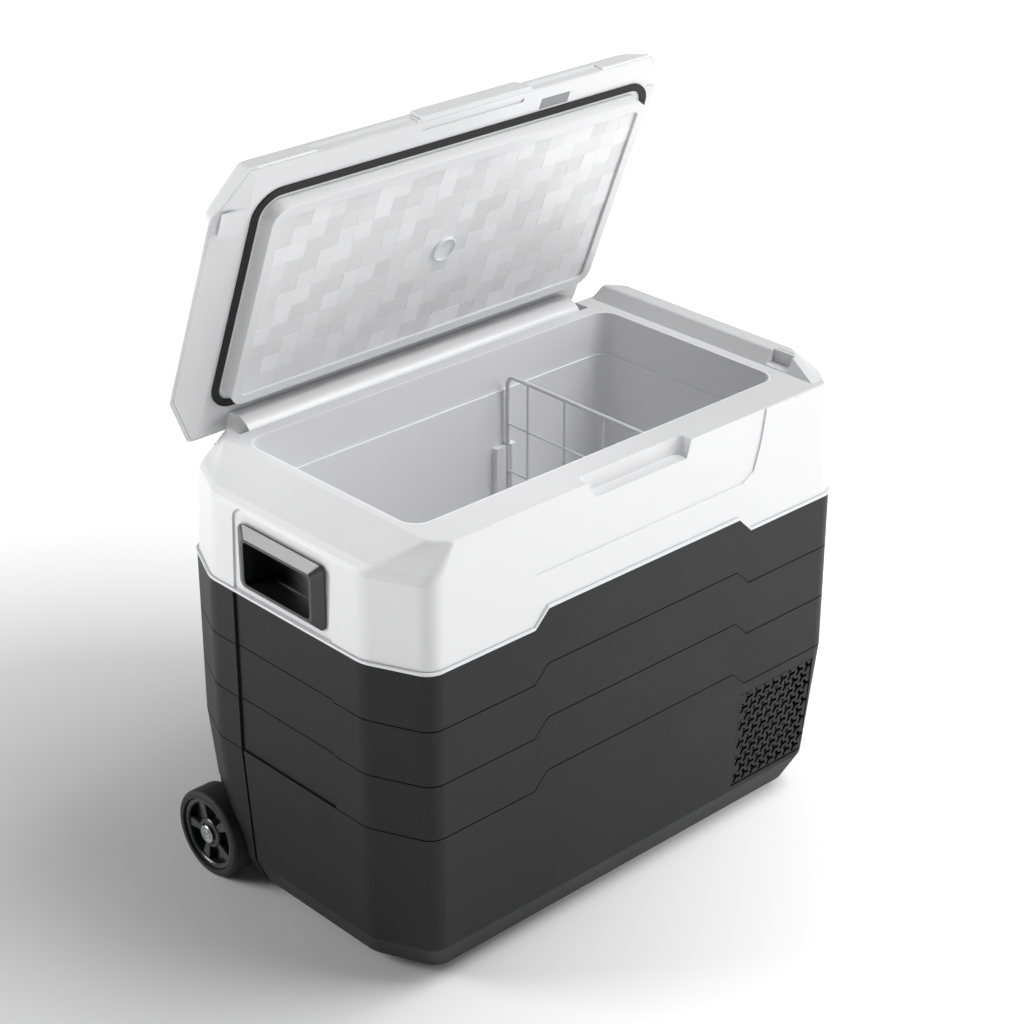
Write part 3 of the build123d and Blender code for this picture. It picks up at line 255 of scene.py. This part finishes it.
# ---------------------------------------------------------------- vent plate
def star_tree(sizes):
    """Node tree: a plate with staggered rows of three-armed holes."""
    tree = bpy.data.node_groups.new("three_arm_vents", "GeometryNodeTree")
    tree.interface.new_socket(name="Plate", in_out="INPUT", socket_type="NodeSocketGeometry")
    for key, value in sizes.items():
        kind = "NodeSocketInt" if isinstance(value, int) else "NodeSocketFloat"
        socket = tree.interface.new_socket(name=key, in_out="INPUT", socket_type=kind)
        socket.default_value = value
    tree.interface.new_socket(name="Material", in_out="INPUT", socket_type="NodeSocketMaterial")
    tree.interface.new_socket(name="Plate", in_out="OUTPUT", socket_type="NodeSocketGeometry")
    source = add(tree, "NodeGroupInput")
    # nine corners: two at the end of each arm, and a notch between arms
    disc = add(tree, "GeometryNodeMeshCircle", {"fill_type": "NGON", "Vertices": 9, "Radius": 0.001})
    index = add(tree, "GeometryNodeInputIndex")
    corner = add(tree, "ShaderNodeMath", {"operation": "MODULO", 1: 3.0}, {0: index.outputs["Index"]})
    notch = add(tree, "ShaderNodeMath", {"operation": "GREATER_THAN", 1: 1.5}, {0: corner.outputs["Value"]})
    third = add(tree, "ShaderNodeMath", {"operation": "DIVIDE", 1: 3.0}, {0: index.outputs["Index"]})
    arm = add(tree, "ShaderNodeMath", {"operation": "FLOOR"}, {0: third.outputs["Value"]})
    side = add(tree, "ShaderNodeMapRange", {"From Max": 1.0, "To Min": -1.0}, {"Value": corner.outputs["Value"]})
    lean = add(tree, "ShaderNodeMath", {"operation": "MULTIPLY"}, {0: source.outputs["Arm angle"]})
    tree.links.new(side.outputs["Result"], lean.inputs[1])
    off = add(tree, "ShaderNodeMix", {"data_type": "FLOAT", "B": math.radians(60)},
              {"Factor": notch.outputs["Value"], "A": lean.outputs["Value"]})
    turn = add(tree, "ShaderNodeMath", {"operation": "MULTIPLY_ADD", 1: math.radians(120)},
               {0: arm.outputs["Value"], 2: off.outputs["Result"]})
    reach = add(tree, "ShaderNodeMix", {"data_type": "FLOAT"},
                {"Factor": notch.outputs["Value"], "A": source.outputs["Arm length"],
                 "B": source.outputs["Arm width"]})
    spot = add(tree, "ShaderNodeCombineXYZ", {}, {"X": reach.outputs["Result"]})
    swung = add(tree, "ShaderNodeVectorRotate", {"rotation_type": "Z_AXIS"}, {"Vector": spot.outputs["Vector"],
                                                                              "Angle": turn.outputs["Value"]})
    fill = add(tree, "GeometryNodeSetPosition", {}, {"Geometry": disc.outputs["Mesh"],
                                                     "Position": swung.outputs["Vector"]})
    star = add(tree, "GeometryNodeExtrudeMesh", {"Offset Scale": 0.03}, {"Mesh": fill.outputs["Geometry"]})
    back = add(tree, "GeometryNodeFlipFaces", {}, {"Mesh": fill.outputs["Geometry"]})
    closed = add(tree, "GeometryNodeJoinGeometry")
    tree.links.new(star.outputs["Mesh"], closed.inputs["Geometry"])
    tree.links.new(back.outputs["Mesh"], closed.inputs["Geometry"])
    welded = add(tree, "GeometryNodeMergeByDistance", {"Distance": 0.00001},
                 {"Geometry": closed.outputs["Geometry"]})
    upright = add(tree, "GeometryNodeTransform", {"Rotation": (math.radians(90), 0, 0), "Translation": (0, 0.015, 0)},
                  {"Geometry": welded.outputs["Geometry"]})
    grids = []
    for half_step in (0, 1):
        rows_y = add(tree, "ShaderNodeMath", {"operation": "MULTIPLY", 1: 2.0}, {0: source.outputs["Row pitch"]})
        line = add(tree, "GeometryNodeMeshLine", {}, {"Count": source.outputs["Columns"]})
        step = add(tree, "ShaderNodeCombineXYZ", {}, {"X": source.outputs["Column pitch"]})
        shift = add(tree, "ShaderNodeMath", {"operation": "MULTIPLY", 1: 0.5 * half_step},
                    {0: source.outputs["Column pitch"]})
        lift = add(tree, "ShaderNodeMath", {"operation": "MULTIPLY", 1: float(half_step)},
                   {0: source.outputs["Row pitch"]})
        start = add(tree, "ShaderNodeCombineXYZ", {}, {"X": shift.outputs["Value"], "Z": lift.outputs["Value"]})
        tree.links.new(step.outputs["Vector"], line.inputs["Offset"])
        tree.links.new(start.outputs["Vector"], line.inputs["Start Location"])
        up = add(tree, "GeometryNodeMeshLine", {}, {"Count": source.outputs["Row pairs"]})
        tall = add(tree, "ShaderNodeCombineXYZ", {}, {"Z": rows_y.outputs["Value"]})
        tree.links.new(tall.outputs["Vector"], up.inputs["Offset"])
        row = add(tree, "GeometryNodeInstanceOnPoints", {}, {"Points": up.outputs["Mesh"],
                                                             "Instance": line.outputs["Mesh"]})
        flat = add(tree, "GeometryNodeRealizeInstances", {}, {"Geometry": row.outputs["Instances"]})
        grids.append(flat)
    points = add(tree, "GeometryNodeJoinGeometry")
    for grid in grids:
        tree.links.new(grid.outputs["Geometry"], points.inputs["Geometry"])
    place = add(tree, "ShaderNodeCombineXYZ", {"Y": -0.196}, {"X": source.outputs["Left"],
                                                              "Z": source.outputs["Low"]})
    put = add(tree, "GeometryNodeTransform", {}, {"Geometry": points.outputs["Geometry"],
                                                  "Translation": place.outputs["Vector"]})
    stars = add(tree, "GeometryNodeInstanceOnPoints", {}, {"Points": put.outputs["Geometry"],
                                                           "Instance": upright.outputs["Geometry"]})
    solid = add(tree, "GeometryNodeRealizeInstances", {}, {"Geometry": stars.outputs["Instances"]})
    cut = add(tree, "GeometryNodeMeshBoolean", {"operation": "DIFFERENCE"},
              {"Mesh 1": source.outputs["Plate"], "Mesh 2": solid.outputs["Geometry"]})
    real = add(tree, "GeometryNodeRealizeInstances", {}, {"Geometry": cut.outputs["Mesh"]})
    done = add(tree, "GeometryNodeSetMaterial", {}, {"Geometry": real.outputs["Geometry"],
                                                     "Material": source.outputs["Material"]})
    add(tree, "NodeGroupOutput", {}, {"Plate": done.outputs["Geometry"]})
    return tree


def grow(name, bm, tree, material, inputs):
    """Runs a node tree on a mesh and returns the plain result as a bmesh."""
    mesh = bpy.data.meshes.new(name + "_seed")
    bm.to_mesh(mesh)
    bm.free()
    seed = bpy.data.objects.new(name + "_seed", mesh)
    bpy.context.collection.objects.link(seed)
    modifier = seed.modifiers.new("pattern", "NODES")
    modifier.node_group = tree
    for item in tree.interface.items_tree:
        if item.item_type == "SOCKET" and item.in_out == "INPUT":
            if item.name == "Material":
                modifier[item.identifier] = material
            elif item.name in inputs:
                modifier[item.identifier] = inputs[item.name]
    result = bpy.data.meshes.new_from_object(seed.evaluated_get(bpy.context.evaluated_depsgraph_get()))
    made = bmesh.new()
    made.from_mesh(result)
    bpy.data.objects.remove(seed)
    bpy.data.meshes.remove(result)
    return made


def make_vents():
    """Front vent: a plate that follows the wall's slight lean, pierced by three-armed holes."""
    x0, x1, z0, z1 = 0.1692, 0.2948, 0.0582, 0.1868
    thick = 0.004

    def wall(z):
        """How far forward the wall stands at a height: it leans out 11 mm over 153 mm."""
        return -0.189 - (z - 0.050) / 0.153 * 0.011 + 0.0010

    bm = bmesh.new()
    bmesh.ops.create_cube(bm, size=1.0)
    for v in bm.verts:
        z = z1 if v.co.z > 0 else z0
        v.co = Vector((x1 if v.co.x > 0 else x0, wall(z) + (thick if v.co.y > 0 else 0.0), z))
    sizes = {"Arm width": 0.0026, "Arm length": 0.0078, "Arm angle": 0.26, "Column pitch": 0.0150,
             "Row pitch": 0.0125,
             "Columns": 8, "Row pairs": 5, "Left": x0 + 0.0075, "Low": z0 + 0.0085}
    made = grow("vents", bm, star_tree(sizes), CHARCOAL, sizes)
    return new_piece("vent_plate", made, CHARCOAL, "cooler_body", "front_grille", smooth=False)


# ---------------------------------------------------------------- turned pieces
def turned(profile, turns=64):
    """A closed solid of revolution about Z from (radius, height) pairs, axis to axis."""
    bm = bmesh.new()
    rings = []
    for radius, height in profile:
        if radius == 0:
            rings.append([bm.verts.new((0, 0, height))])
        else:
            rings.append([bm.verts.new((radius * math.cos(math.tau * k / turns),
                                        radius * math.sin(math.tau * k / turns), height))
                          for k in range(turns)])
    for low, high in zip(rings, rings[1:]):
        for k in range(turns):
            n = (k + 1) % turns
            if len(low) == 1:
                bm.faces.new((low[0], high[n], high[k]))
            elif len(high) == 1:
                bm.faces.new((low[k], low[n], high[0]))
            else:
                bm.faces.new((low[k], low[n], high[n], high[k]))
    return bm


def make_cap():
    """Round cap in the middle of the lid panel: a dished face inside a raised ring."""
    bm = turned([(0, 0.0028), (0.0128, 0.0028), (0.0138, 0.0022), (0.0142, 0.0003), (0.0150, 0.0), (0.0158, 0.0006),
                 (0.0160, 0.0030), (0.0160, 0.0042), (0, 0.0042)])
    bmesh.ops.transform(bm, matrix=Matrix.Translation((-0.0035, -0.00125, UNDERSIDE - 0.0182)), verts=bm.verts)
    opened(bm)
    return new_piece("round_cap", bm, WHITE_GLOSS, "lid", "lid_centre_cap")


def along_x(bm, x, y, z, sign):
    """Turns a piece made about Z so its face looks out along X, and puts it in place."""
    bmesh.ops.transform(bm, matrix=Matrix.Translation((x, y, z)) @ Matrix.Rotation(math.radians(90) * sign, 4, "Y"),
                        verts=bm.verts)


def make_wheels():
    """Moulded wheel centres with a dished web, broad ribs and a ringed axle cap."""
    for side, sign in (("left", -1), ("right", 1)):
        low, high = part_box("wheel_hub_" + side)
        y, z = (low[1] + high[1]) / 2, (low[2] + high[2]) / 2
        radius = (high[2] - low[2]) / 2
        back = low[0] - high[0] + 0.001
        web = -0.011                # the dished web, behind the wheel's face
        face = low[0] if sign < 0 else high[0]
        bm = turned([(0, back), (radius - 0.0002, back), (radius - 0.0002, -0.002), (radius - 0.0014, -0.0006),
                     (radius - 0.0055, -0.0006), (radius - 0.0070, -0.0020), (radius - 0.0078, web),
                     (0.0195, web), (0.0185, -0.0030), (0.0172, -0.0018), (0.0130, -0.0012),
                     (0.0122, -0.0034), (0, -0.0034)])
        for k in range(5):
            rib = bmesh.new()
            bmesh.ops.create_cube(rib, size=1.0)
            inner, outer = 0.0180, radius - 0.0062
            for v in rib.verts:
                far = v.co.x > 0
                v.co.x = outer if far else inner
                v.co.y *= 0.0135 if far else 0.0085
                v.co.z = -0.0030 if v.co.z > 0 else -0.0120
            bmesh.ops.bevel(rib, geom=rib.edges[:], offset=0.0009, segments=2, affect="EDGES")
            bmesh.ops.rotate(rib, matrix=Matrix.Rotation(math.radians(72) * k + 0.35, 3, "Z"), verts=rib.verts)
            spare = bpy.data.meshes.new("rib")
            rib.to_mesh(spare)
            rib.free()
            bm.from_mesh(spare)
            bpy.data.meshes.remove(spare)
        along_x(bm, face, y, z, sign)
        new_piece("wheel_centre_" + side, bm, BLACK, "wheel_" + side, "wheel_hub_" + side)
        low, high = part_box("axle_nut_" + side)
        reach = (high[2] - low[2]) / 2
        end = low[0] if sign < 0 else high[0]
        deep = high[0] - low[0]
        steps = ((1.0, -0.0012), (0.94, -0.0006), (0.80, -0.0006), (0.76, -0.0016), (0.62, -0.0016),
                 (0.58, -0.0004),
                 (0.40, -0.0002), (0.36, -0.0012), (0.18, -0.0012), (0.14, 0.0), (0, 0.0))
        cap = turned([(0, -deep), (reach, -deep)] + [(reach * part, height) for part, height in steps], turns=40)
        along_x(cap, end, y, z, sign)
        new_piece("axle_cap_" + side, cap, STEEL, "cooler_body", "axle_nut_" + side)


make_tiles()
make_vents()
make_cap()
make_wheels()


# ---------------------------------------------------------------- stage
def floor_paint():
    """White studio floor with a painted glow that grows away from the object, so the floor stays darker around the
    object as a painted shadow pool.
    """
    material = finish("white_studio_sweep", "F2F2F2", 0.35, 6.0, bump=0.0, mottle=0.002, ior=1.35)
    tree = material.node_tree
    shader = next(n for n in tree.nodes if n.type == "BSDF_PRINCIPLED")
    place = add(tree, "ShaderNodeTexCoord")
    centred = add(tree, "ShaderNodeMapping", {"Location": (0.42, -0.30, 0.0)}, {"Vector": place.outputs["Object"]})
    far = add(tree, "ShaderNodeVectorMath", {"operation": "LENGTH"}, {0: centred.outputs["Vector"]})
    # painted glow: emission rises with distance from a point left of and behind the object, leaving a painted shadow
    # near it
    painted_glow = add(tree, "ShaderNodeMapRange", {"From Min": 0.45, "From Max": 1.6, "To Min": 0.0, "To Max": 0.95},
               {"Value": far.outputs["Value"]})
    tree.links.new(painted_glow.outputs["Result"], shader.inputs["Emission Strength"])
    shader.inputs["Emission Color"].default_value = (1, 1, 1, 1)
    return material


def make_stage():
    """Pale floor, three soft lights and the camera."""
    bm = bmesh.new()
    bmesh.ops.create_grid(bm, x_segments=2, y_segments=2, size=60.0)
    mesh = bpy.data.meshes.new("floor")
    bm.to_mesh(mesh)
    floor = bpy.data.objects.new("floor", mesh)
    bpy.context.collection.objects.link(floor)
    # Painted studio floor: white, slightly soft sheen, with a painted glow and a painted shadow pool around the
    # object.
    paint(floor, floor_paint())
    world = bpy.data.worlds.new("studio")
    bpy.context.scene.world = world
    world.use_nodes = True
    world.node_tree.nodes["Background"].inputs["Color"].default_value = (1, 1, 1, 1)
    world.node_tree.nodes["Background"].inputs["Strength"].default_value = 0.09

    def panel(name, place, aim, size, power):
        data = bpy.data.lights.new(name, "AREA")
        data.shape = "RECTANGLE"
        data.size, data.size_y = size
        data.energy = power
        lamp = bpy.data.objects.new(name, data)
        lamp.location = place
        lamp.rotation_euler = (Vector(aim) - Vector(place)).to_track_quat("-Z", "Y").to_euler()
        bpy.context.collection.objects.link(lamp)

    panel("front_right_light", (2.7, -2.7, 1.5), (0, 0, 0.35), (1.9, 1.8), 35)
    panel("top_light", (1.1, -1.1, 3.0), (0, 0, 0.4), (2.0, 1.8), 74)
    panel("back_left_light", (-2.7, 2.2, 1.7), (0, 0, 0.35), (1.6, 1.6), 80)
    data = bpy.data.cameras.new("camera")
    data.lens = 89.31
    data.sensor_width = 36.0
    data.clip_end = 200
    camera = bpy.data.objects.new("camera", data)
    camera.location = (-1.7791, -1.8818, 1.7199)
    camera.rotation_euler = Vector((0.61105, 0.65096, -0.45041)).to_track_quat("-Z", "Y").to_euler()
    bpy.context.collection.objects.link(camera)
    bpy.context.scene.camera = camera
    bpy.context.scene.view_settings.view_transform = "Standard"


make_stage()
